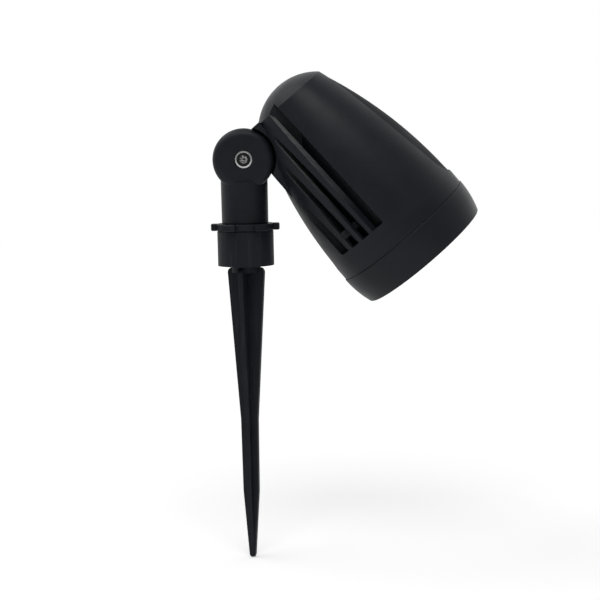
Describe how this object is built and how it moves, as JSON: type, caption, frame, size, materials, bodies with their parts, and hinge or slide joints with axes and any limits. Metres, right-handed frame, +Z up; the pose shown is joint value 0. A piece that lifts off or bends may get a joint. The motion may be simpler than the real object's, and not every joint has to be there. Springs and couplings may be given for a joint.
{
  "type": "garden spike spotlight",
  "caption": "Bullet-shaped finned spotlight on a tilting, turning knuckle with a lugged locknut, screwed into the socket of a pointed ground spike.",
  "frame": {"origin": "centre of the spike socket's underside, at ground level when the spike is pushed in", "axes": "+Z up along the spike and post, +X the way the head points, +Y to the far side, where the cable outlet is"},
  "size_m": [0.1668, 0.0948, 0.3063],
  "materials": {
    "spike_plastic": "moulded black plastic, dull",
    "black_casting": "die-cast aluminium with satin black powder coat",
    "steel": "stainless steel, turned",
    "rubber": "black moulded rubber",
    "glass": "clear toughened glass",
    "bare_aluminium": "machined aluminium",
    "mirror_finish": "vacuum-metallised reflector",
    "white_plastic": "white heat-resistant plastic",
    "board_ceramic": "white ceramic plate",
    "phosphor": "yellow silicone phosphor",
    "thermal_rubber": "grey thermal pad",
    "driver_plastic": "black plastic cup",
    "circuit_board": "green circuit board",
    "part_sleeve": "sleeved electrical parts",
    "lead_insulation": "wire insulation"
  },
  "bodies": {
    "spike": {"ground_spike": "spike_plastic", "stem_seal": "rubber", "cable_grommet": "rubber"},
    "knuckle": {"knuckle_base": "black_casting", "friction_washer": "steel", "screw_washer": "steel"},
    "locknut": {"locknut": "black_casting"},
    "clamp_screw": {"clamp_screw": "steel"},
    "head": {"housing": "black_casting", "tilt_nut": "steel", "ear_seal": "rubber", "arm_grommet": "rubber", "bezel_ring": "black_casting", "bezel_seal": "rubber", "glass_gasket": "rubber", "front_glass": "glass", "heat_spreader": "bare_aluminium", "spreader_screws": "steel", "thermal_pad": "thermal_rubber", "led_board": "board_ceramic", "led_emitter": "phosphor", "led_holder": "white_plastic", "holder_screws": "steel", "led_leads": "lead_insulation", "reflector": "mirror_finish", "driver_case": "driver_plastic", "driver_board": "circuit_board", "driver_parts": "part_sleeve"}
  },
  "joints": [
    {"name": "base_pan", "type": "hinge", "parent": "spike", "child": "knuckle", "pos_m": [0, 0, 0.0262], "axis": [0, 0, 1], "range_deg": [-180, 180]},
    {"name": "locknut_turn", "type": "hinge", "parent": "knuckle", "child": "locknut", "pos_m": [0, 0, 0.0241], "axis": [0, 0, 1], "range_deg": [0, 90]},
    {"name": "head_tilt", "type": "hinge", "parent": "knuckle", "child": "head", "pos_m": [0, 0, 0.066], "axis": [0, -1, 0], "range_deg": [-10, 140]},
    {"name": "clamp_screw_turn", "type": "hinge", "parent": "knuckle", "child": "clamp_screw", "pos_m": [0, 0, 0.066], "axis": [0, -1, 0], "range_deg": [0, 180]}
  ]
}
